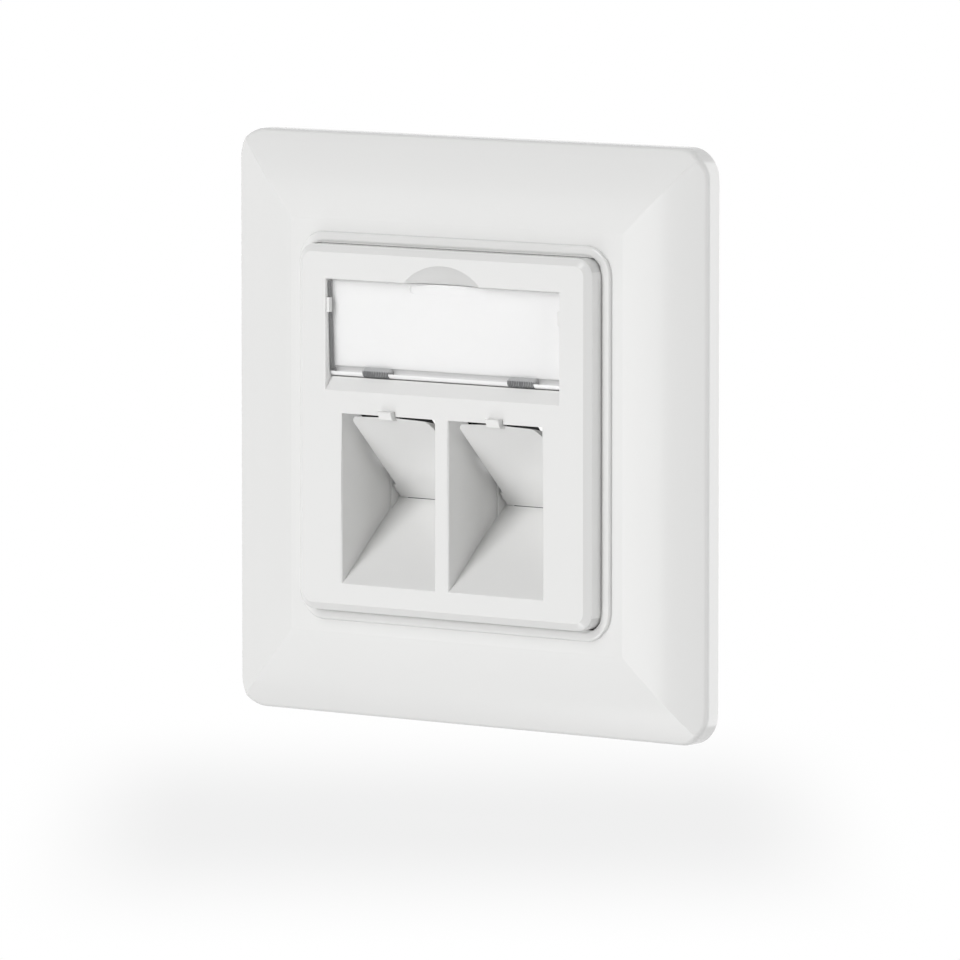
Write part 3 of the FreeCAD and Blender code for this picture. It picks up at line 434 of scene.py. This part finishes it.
def add_node(owner, kind, settings=None, inputs=None):
    """Add a node to a material or world, set its settings and inputs; a socket given is linked."""
    tree = owner.node_tree
    node = tree.nodes.new(kind)
    for key, value in (settings or {}).items():
        setattr(node, key, value)
    for key, value in (inputs or {}).items():
        if isinstance(value, bpy.types.NodeSocket):
            tree.links.new(value, node.inputs[key])
        else:
            node.inputs[key].default_value = value
    return node


def new_material(name):
    """An empty node material with its output node."""
    material = bpy.data.materials.new(name)
    material.use_nodes = True
    material.node_tree.nodes.clear()
    return material, add_node(material, "ShaderNodeOutputMaterial")


def finish(owner, output, shader):
    """Link a shader node to the output of a material or world, and print how many nodes it took."""
    owner.node_tree.links.new(shader.outputs[0], output.inputs["Surface"])
    print(f"{owner.name}: {len(owner.node_tree.nodes)} nodes")
    return owner


def dress(material, *objects):
    """Give every slot of these objects one material."""
    for item in objects:
        item.data.materials.clear()
        item.data.materials.append(material)


# %% [markdown]
# ## White moulded plastic
# Frame, ring, plate and flaps are white ABS, injection moulded. The mould for the frame and the plate is
# polished, so they mirror the studio softly. The flaps come from a mould that is only stoned, so they
# look satin. Under the gloss there is a faint unevenness, a few tenths of a millimetre across, that keeps
# reflections from looking computed, and a slow drift of the tint where the melt flowed.

# %% White ABS in three glosses
FLOW_WIDTH = 18 * MM


def moulded_abs(name, colour, roughness, grain_mm, grain_depth_mm):
    """Injection moulded ABS: even colour, clear gloss, a fine uneven skin."""
    material, output = new_material(name)
    place = add_node(material, "ShaderNodeTexCoord")
    skin = add_node(material, "ShaderNodeTexNoise", {"noise_dimensions": "3D"},
                    {"Vector": place.outputs["Object"], "Scale": 1 / (grain_mm * MM), "Detail": 2.0})
    flow = add_node(material, "ShaderNodeTexNoise", {"noise_dimensions": "3D"},
                    {"Vector": place.outputs["Object"], "Scale": 1 / FLOW_WIDTH, "Detail": 1.0})
    tint = add_node(material, "ShaderNodeMix", {"data_type": "RGBA"},
                    {0: flow.outputs["Fac"], 6: linear(colour, 0.985), 7: linear(colour)})
    bump = add_node(material, "ShaderNodeBump", None,
                    {"Strength": 1.0, "Distance": grain_depth_mm * MM, "Height": skin.outputs["Fac"]})
    shader = add_node(material, "ShaderNodeBsdfPrincipled", None,
                      {"Base Color": tint.outputs[2], "Roughness": roughness, "IOR": 1.53,
                       "Normal": bump.outputs["Normal"]})
    return finish(material, output, shader)


# Polished mould: soft mirror of the lamps along the frame's slopes.
gloss_abs = moulded_abs("polished white ABS", "E4E4E3", 0.16, 0.9, 0.0006)
# The plate's mould, a shade less polished: an even face with soft highlights on its edges.
plate_abs = moulded_abs("plate white ABS", "E4E4E3", 0.2, 0.8, 0.0006)
# Stoned mould: satin, so that the panels shade smoothly and mirror nothing.
flap_abs = moulded_abs("satin white ABS", "E7E7E6", 0.38, 0.35, 0.0015)
dress(gloss_abs, nodes["outer_frame"], ring)
dress(plate_abs, plate)
dress(flap_abs, *flaps)

# %% [markdown]
# ## Scoop and side walls of the plate
# The finger scoop is stoned in the mould for grip, so it mirrors less light than the polished face, and its
# colour is a shade greyer: painted shade, so that it reads as a hollow. The plate's upright walls get a
# lighter
# colour: painted light, so that they look as bright as its face. Subsurface scattering would brighten them,
# but it is slow and the exported model loses it, so both sets of faces get a shade of their own, chosen by
# place and by direction.

# %% Shades within the plate
SCOOP, WALL = 1, 2
SCOOP_FLOOR_FROM, SCOOP_FLOOR_BACK = 20.42, -7.0
WALL_FROM, SIDEWAYS = 24.7, 0.95


def plate_part(face):
    """The slot for a face of the plate: face, scoop or upright wall."""
    middle = face.center / MM
    if (abs(middle.x) < SCOOP_HALF_WIDTH and SCOOP_FLOOR_FROM < middle.z < SCOOP_TOP
            and PLATE_FRONT + 0.01 < middle.y < SCOOP_FLOOR_BACK):
        return SCOOP
    on_recess_wall = abs(middle.x + RECESS_SIDE) < 0.1 and middle.z > RECESS_BOTTOM
    if abs(face.normal.x) > SIDEWAYS and (abs(middle.x) > WALL_FROM or on_recess_wall):
        return WALL
    return 0


# Stoned hollow: matt, and greyer in colour as painted shade, so the scoop reads as a hollow.
plate.data.materials.append(moulded_abs("stoned white ABS of the finger scoop with painted shade", "D2D2D1", 0.45, 0.3, 0.002))
# Side walls: lighter in colour as painted light, so they look as bright as the plate's face.
plate.data.materials.append(moulded_abs("white ABS of the plate's sides with painted light", "F6F6F5", 0.2, 0.8, 0.0006))
for face in plate.data.polygons:
    face.material_index = plate_part(face)
for name, slot in (("plain", 0), ("scoop", SCOOP), ("wall", WALL)):
    print(name, "faces:", sum(face.material_index == slot for face in plate.data.polygons))

# %% [markdown]
# ## The clear window
# The window is moulded in clear polystyrene. It is under a millimetre thick, so bending the light through
# it shows nothing but noise: a thin film of mirror over what lies behind is what the eye sees. A low alpha
# with a sharp gloss gives that, lets the light through to the paper, and survives in the exported model.

# %% Clear polystyrene and its edges


def clear_part(name, colour, alpha, roughness):
    """Clear polystyrene as a thin film: a colour, how much it hides, and its gloss. Grey and white colours
    here are painted shade and painted light.
    """
    material, output = new_material(name)
    shader = add_node(material, "ShaderNodeBsdfPrincipled", None,
                      {"Base Color": linear(colour), "Roughness": roughness, "IOR": 1.59, "Alpha": alpha})
    return finish(material, output, shader)


# In slot order: a pane that is hardly there, edges in grey as painted shade that outline it, a rod in white
# as painted light for the light it gathers, blocks in grey and collars in dark as painted shade that marks
# the hinge.
for slot, material in enumerate((clear_part("clear polystyrene", "FFFFFF", 0.14, 0.05),
                                 clear_part("clear polystyrene edge with painted shade", "BEBFC0", 0.4, 0.2),
                                 clear_part("clear rod with painted light", "EFEFEF", 0.96, 0.12),
                                 clear_part("clear hinge block with painted shade", "B4B5B6", 0.8, 0.2),
                                 clear_part("clear hinge collar with painted shade", "3C3D3F", 0.9, 0.3))):
    window.data.materials[slot] = material

# %% [markdown]
# ## The collars' ribs
# The ribs catch light on top and trap it below, in a fine dark speckle. The grooves between them are too
# fine to show, so that shade is painted as a speckle a third of a millimetre coarse, and it gives way to a
# band of painted light above the rod's middle.

# %% Ribs with painted light and shade
SPECKLE_WIDTH = 0.35 * MM
LIGHT_FROM, LIGHT_FULL = 7.85 * MM, 8.1 * MM

# Painted light above, and painted shade below, dark and speckled, which reads as fine knurling.
rib_finish, rib_out = new_material("collar rib with painted light and shade")
rib_place = add_node(rib_finish, "ShaderNodeTexCoord")
rib_axes = add_node(rib_finish, "ShaderNodeSeparateXYZ", None, {0: rib_place.outputs["Object"]})
rib_height = add_node(rib_finish, "ShaderNodeMapRange", None,
                      {"Value": rib_axes.outputs["Z"], "From Min": LIGHT_FROM, "From Max": LIGHT_FULL})
rib_shade_noise = add_node(rib_finish, "ShaderNodeTexNoise", None,
                     {"Vector": rib_place.outputs["Object"], "Scale": 1 / SPECKLE_WIDTH, "Detail": 2.0})
rib_speckle = add_node(rib_finish, "ShaderNodeMix", {"data_type": "RGBA"},
                       {0: rib_shade_noise.outputs["Fac"], 6: linear("1C1D1E"), 7: linear("B0B1B2")})
rib_light_and_shade = add_node(rib_finish, "ShaderNodeMix", {"data_type": "RGBA"},
                    {0: rib_height.outputs[0], 6: rib_speckle.outputs[2], 7: linear("CBCCCD")})
rib_shader = add_node(rib_finish, "ShaderNodeBsdfPrincipled", None,
                      {"Base Color": rib_light_and_shade.outputs[2], "Roughness": 0.3, "IOR": 1.59, "Alpha": 0.92})
finish(rib_finish, rib_out, rib_shader)
dress(rib_finish, *ribs)

# %% [markdown]
# ## Paper
# The label is uncoated paper: a dead matt white with a tooth of fibres that softens its shading. Fibres are
# hundredths of a millimetre wide, too fine to show, so their clumps are drawn 0.4 mm across.

# %% Label paper
FIBRE_CLUMP, TOOTH = 0.4 * MM, 0.004 * MM

# Uncoated paper: brighter than the plastic round it, with no highlight at all.
paper, paper_out = new_material("label paper")
paper_place = add_node(paper, "ShaderNodeTexCoord")
fibres = add_node(paper, "ShaderNodeTexNoise", None,
                  {"Vector": paper_place.outputs["Object"], "Scale": 1 / FIBRE_CLUMP, "Detail": 4.0})
paper_bump = add_node(paper, "ShaderNodeBump", None,
                      {"Strength": 1.0, "Distance": TOOTH, "Height": fibres.outputs["Fac"]})
paper_shader = add_node(paper, "ShaderNodeBsdfPrincipled", None,
                        {"Base Color": linear("F1F1F1"), "Roughness": 0.8,
                         "Normal": paper_bump.outputs["Normal"]})
finish(paper, paper_out, paper_shader)
dress(paper, label)

# %% [markdown]
# ## Black nylon
# The jack holder is moulded in black nylon, with a fine pitted texture from its spark-eroded mould. From
# the front it shows only through the slits above the flaps, which it makes black, so its highlight is kept
# low: a plain gloss would mirror the white studio into them.

# %% Jack holder's nylon
PIT_WIDTH, PIT_DEPTH = 0.25 * MM, 0.01 * MM

# Textured nylon: deep black and dull, even at a glancing angle.
nylon, nylon_out = new_material("black nylon")
nylon_place = add_node(nylon, "ShaderNodeTexCoord")
pits = add_node(nylon, "ShaderNodeTexNoise", None,
                {"Vector": nylon_place.outputs["Object"], "Scale": 1 / PIT_WIDTH, "Detail": 3.0})
nylon_bump = add_node(nylon, "ShaderNodeBump", None,
                      {"Strength": 1.0, "Distance": PIT_DEPTH, "Height": pits.outputs["Fac"]})
nylon_shader = add_node(nylon, "ShaderNodeBsdfPrincipled", None,
                        {"Base Color": linear("141415"), "Roughness": 0.7, "Specular IOR Level": 0.15,
                         "Normal": nylon_bump.outputs["Normal"]})
finish(nylon, nylon_out, nylon_shader)
dress(nylon, nodes["keystone_holder"])

# %% [markdown]
# ## Zinc
# Bracket and screws are steel with a bright zinc plating. Zinc settles in crystals a few millimetres
# across, and each mirrors the studio a little differently. A Voronoi pattern on the roughness gives that
# patchwork, without the seams that a pattern on the colour would draw.

# %% Zinc-plated steel
CRYSTAL_WIDTH = 3.0 * MM

# Zinc plating: a soft grey mirror that is slightly patchy.
zinc, zinc_out = new_material("zinc-plated steel")
zinc_place = add_node(zinc, "ShaderNodeTexCoord")
crystals = add_node(zinc, "ShaderNodeTexVoronoi", None,
                    {"Vector": zinc_place.outputs["Object"], "Scale": 1 / CRYSTAL_WIDTH})
zinc_rough = add_node(zinc, "ShaderNodeMapRange", None,
                      {"Value": crystals.outputs["Distance"], "To Min": 0.28, "To Max": 0.42})
zinc_shader = add_node(zinc, "ShaderNodeBsdfPrincipled", None,
                       {"Base Color": linear("85888B"), "Metallic": 1.0, "Roughness": zinc_rough.outputs[0]})
finish(zinc, zinc_out, zinc_shader)
dress(zinc, nodes["mounting_bracket"], nodes["plate_screw_left"], nodes["plate_screw_right"])

# %% [markdown]
# ## Camera
# The outlet is seen from its right and from a little above, through a long lens from over a metre away, so
# its edges run almost parallel. The camera stands on a line from its target, found from two angles, and is
# turned along that line. Shifting the lens, instead of aiming lower, places the outlet on the sheet while
# its upright edges stay upright.

# %% Camera
AZIMUTH, ELEVATION = math.radians(37.852), math.radians(5.295)
DISTANCE = 1.3201
TARGET = Vector((0, -5 * MM, 0))


def towards(azimuth, elevation):
    """The direction at an azimuth, from straight in front round to the right, and an elevation."""
    return Vector((math.sin(azimuth) * math.cos(elevation), -math.cos(azimuth) * math.cos(elevation),
                   math.sin(elevation)))


back = towards(AZIMUTH, ELEVATION)
camera_data = bpy.data.cameras.new("studio camera")
camera = bpy.data.objects.new("studio camera", camera_data)
bpy.context.scene.collection.objects.link(camera)
camera.location = TARGET + back * DISTANCE
camera.rotation_euler = back.to_track_quat("Z", "Y").to_euler()
camera_data.sensor_width = 36
camera_data.lens = 365.97
camera_data.shift_x = 0.0223
camera_data.shift_y = -0.0480
camera_data.clip_start = 0.01
bpy.context.scene.camera = camera
print("camera at", [round(value, 3) for value in camera.location])

# %% [markdown]
# ## Floor
# The outlet floats over a plain white floor. The floor is one flat sheet that belongs to the stage. Its light
# would reach the outlet from below and flatten it, so only the camera sees it.

# %% Floor
FLOOR_Z = -53.5 * MM

select_nothing()
bpy.ops.mesh.primitive_plane_add(size=6, location=(0, 0, FLOOR_Z))
floor = bpy.context.active_object
floor.name = "floor"
floor.visible_diffuse = floor.visible_glossy = floor.visible_transmission = floor.visible_shadow = False
print("floor", round(-FLOOR_Z / MM, 1), "mm below the outlet's middle")

# %% [markdown]
# ## The pool of shade
# The outlet darkens the white floor in one wide, soft pool. Lamps that cast a pool this wide would grey the
# whole floor, so the floor gives off its own white and is dimmed in two ways: by a smooth oblong laid out
# along the studio's main direction, and by ambient occlusion, which follows the outlet's real shape
# overhead. From below the floor is clear, so that it never hides the outlet.

# %% Floor's white and its pool
POOL_CENTRE = (-3.2 * MM, -2.5 * MM, 0)
POOL_EDGES = (("X", 34.8 * MM, 62 * MM), ("Y", 8.5 * MM, 122 * MM))
POOL_DARKEST, OVERHEAD_DARKEST, OVERHEAD_REACH = 0.875, 0.97, 60 * MM

# White paper sweep: as bright as the sheet round it, with a grey pool under the outlet.
floor_white, floor_out = new_material("white studio floor")
floor_place = add_node(floor_white, "ShaderNodeTexCoord")
pool = add_node(floor_white, "ShaderNodeMapping", {"vector_type": "TEXTURE"},
                {"Vector": floor_place.outputs["Object"], "Rotation": (0, 0, AZIMUTH),
                 "Location": POOL_CENTRE})
pool_axes = add_node(floor_white, "ShaderNodeSeparateXYZ", None, {0: pool.outputs[0]})
shade = []
for axis, start, end in POOL_EDGES:
    off_centre = add_node(floor_white, "ShaderNodeMath", {"operation": "ABSOLUTE"},
                          {0: pool_axes.outputs[axis]})
    shade.append(add_node(floor_white, "ShaderNodeMapRange", {"interpolation_type": "SMOOTHSTEP"},
                          {"Value": off_centre.outputs[0], "From Min": start, "From Max": end,
                           "To Min": 1.0, "To Max": 0.0}))
both = add_node(floor_white, "ShaderNodeMath", {"operation": "MULTIPLY"},
                {0: shade[0].outputs[0], 1: shade[1].outputs[0]})
lit = add_node(floor_white, "ShaderNodeMapRange", None,
               {"Value": both.outputs[0], "To Min": 1.0, "To Max": POOL_DARKEST})
overhead = add_node(floor_white, "ShaderNodeAmbientOcclusion", {"samples": 8},
                    {"Distance": OVERHEAD_REACH})
open_sky = add_node(floor_white, "ShaderNodeMapRange", None,
                    {"Value": overhead.outputs["AO"], "To Min": OVERHEAD_DARKEST, "To Max": 1.0})
glow = add_node(floor_white, "ShaderNodeMath", {"operation": "MULTIPLY"},
                {0: lit.outputs[0], 1: open_sky.outputs[0]})
floor_glow = add_node(floor_white, "ShaderNodeEmission", None, {"Strength": glow.outputs[0]})
from_below = add_node(floor_white, "ShaderNodeNewGeometry")
clear_back = add_node(floor_white, "ShaderNodeBsdfTransparent")
floor_mix = add_node(floor_white, "ShaderNodeMixShader", None,
                     {0: from_below.outputs["Backfacing"], 1: floor_glow.outputs[0],
                      2: clear_back.outputs[0]})
finish(floor_white, floor_out, floor_mix)
dress(floor_white, floor)

# %% [markdown]
# ## Lamps
# White on white shows its form only by small steps of grey, so every direction round the outlet has its own
# even panel of light. A softbox is set by the range of directions that it fills and by its brightness, so
# that its power follows from its size. Most light comes from high in front and from the floor, a thin panel
# grazes the right side, and three more light the right edge and the back.

# %% Lamps
LAMP_DISTANCE = 1.5
# Name, range of azimuth and range of elevation in degrees, brightness.
SOFTBOXES = (("high front", (-27, -1.4), (20, 52), 6.4),
             ("middle front", (-27, -1.4), (-9, 20), 1.5),
             ("low front", (-27, -1.4), (-38, -9), 2.2),
             ("floor bounce front", (-27, -1.4), (-62, -38), 4.5),
             ("floor bounce left", (-52, -27), (-62, -38), 1.8),
             ("left fill", (-52, -27), (-38, 20), 0.45),
             ("right grazing", (66, 84), (-30, 22), 1.8),
             ("right edge", (86, 126), (-30, 22), 0.9),
             ("right back edge", (126, 160), (-30, 40), 2.1))


def softbox(name, azimuths, elevations, level):
    """An area lamp that fills a range of directions, in degrees, with an even brightness."""
    azimuth, elevation = (math.radians(sum(pair) / 2) for pair in (azimuths, elevations))
    half_width = math.radians(azimuths[1] - azimuths[0]) / 2 * math.cos(elevation)
    half_height = math.radians(elevations[1] - elevations[0]) / 2
    data = bpy.data.lights.new(name, "AREA")
    data.shape = "RECTANGLE"
    data.size = 2 * LAMP_DISTANCE * math.tan(half_width)
    data.size_y = 2 * LAMP_DISTANCE * math.tan(half_height)
    data.energy = level * math.pi * data.size * data.size_y
    lamp = bpy.data.objects.new(name, data)
    bpy.context.scene.collection.objects.link(lamp)
    lamp.visible_camera = False
    away = towards(azimuth, elevation)
    lamp.location = away * LAMP_DISTANCE
    lamp.rotation_euler = away.to_track_quat("Z", "Y").to_euler()
    print(f"{name}: {data.size:.2f} x {data.size_y:.2f} m, {data.energy:.1f} W")


for row in SOFTBOXES:
    softbox(*row)

# %% [markdown]
# ## Surround
# The studio round the outlet is white. Seen directly, in a reflection or through the clear window it has to
# be pure white, but as light it would drown the lamps' modelling. So the world mixes two backgrounds: camera,
# glossy and transmission rays get white at strength 1, and everything else gets a quarter of that.

# %% Surround
AMBIENT = 0.26
world = bpy.data.worlds.new("studio")
bpy.context.scene.world = world
world.use_nodes = True
world.node_tree.nodes.clear()
world_out = add_node(world, "ShaderNodeOutputWorld")
ambient = add_node(world, "ShaderNodeBackground", None, {"Color": (1, 1, 1, 1), "Strength": AMBIENT})
white = add_node(world, "ShaderNodeBackground", None, {"Color": (1, 1, 1, 1)})
path = add_node(world, "ShaderNodeLightPath")
mirrored = add_node(world, "ShaderNodeMath", {"operation": "MAXIMUM"},
                    {0: path.outputs["Is Glossy Ray"], 1: path.outputs["Is Transmission Ray"]})
seen = add_node(world, "ShaderNodeMath", {"operation": "MAXIMUM"},
                {0: mirrored.outputs[0], 1: path.outputs["Is Camera Ray"]})
chooser = add_node(world, "ShaderNodeMixShader", None,
                   {0: seen.outputs[0], 1: ambient.outputs[0], 2: white.outputs[0]})
finish(world, world_out, chooser)
bpy.context.scene.view_settings.view_transform = "Standard"
print("ambient light", AMBIENT, "of white")
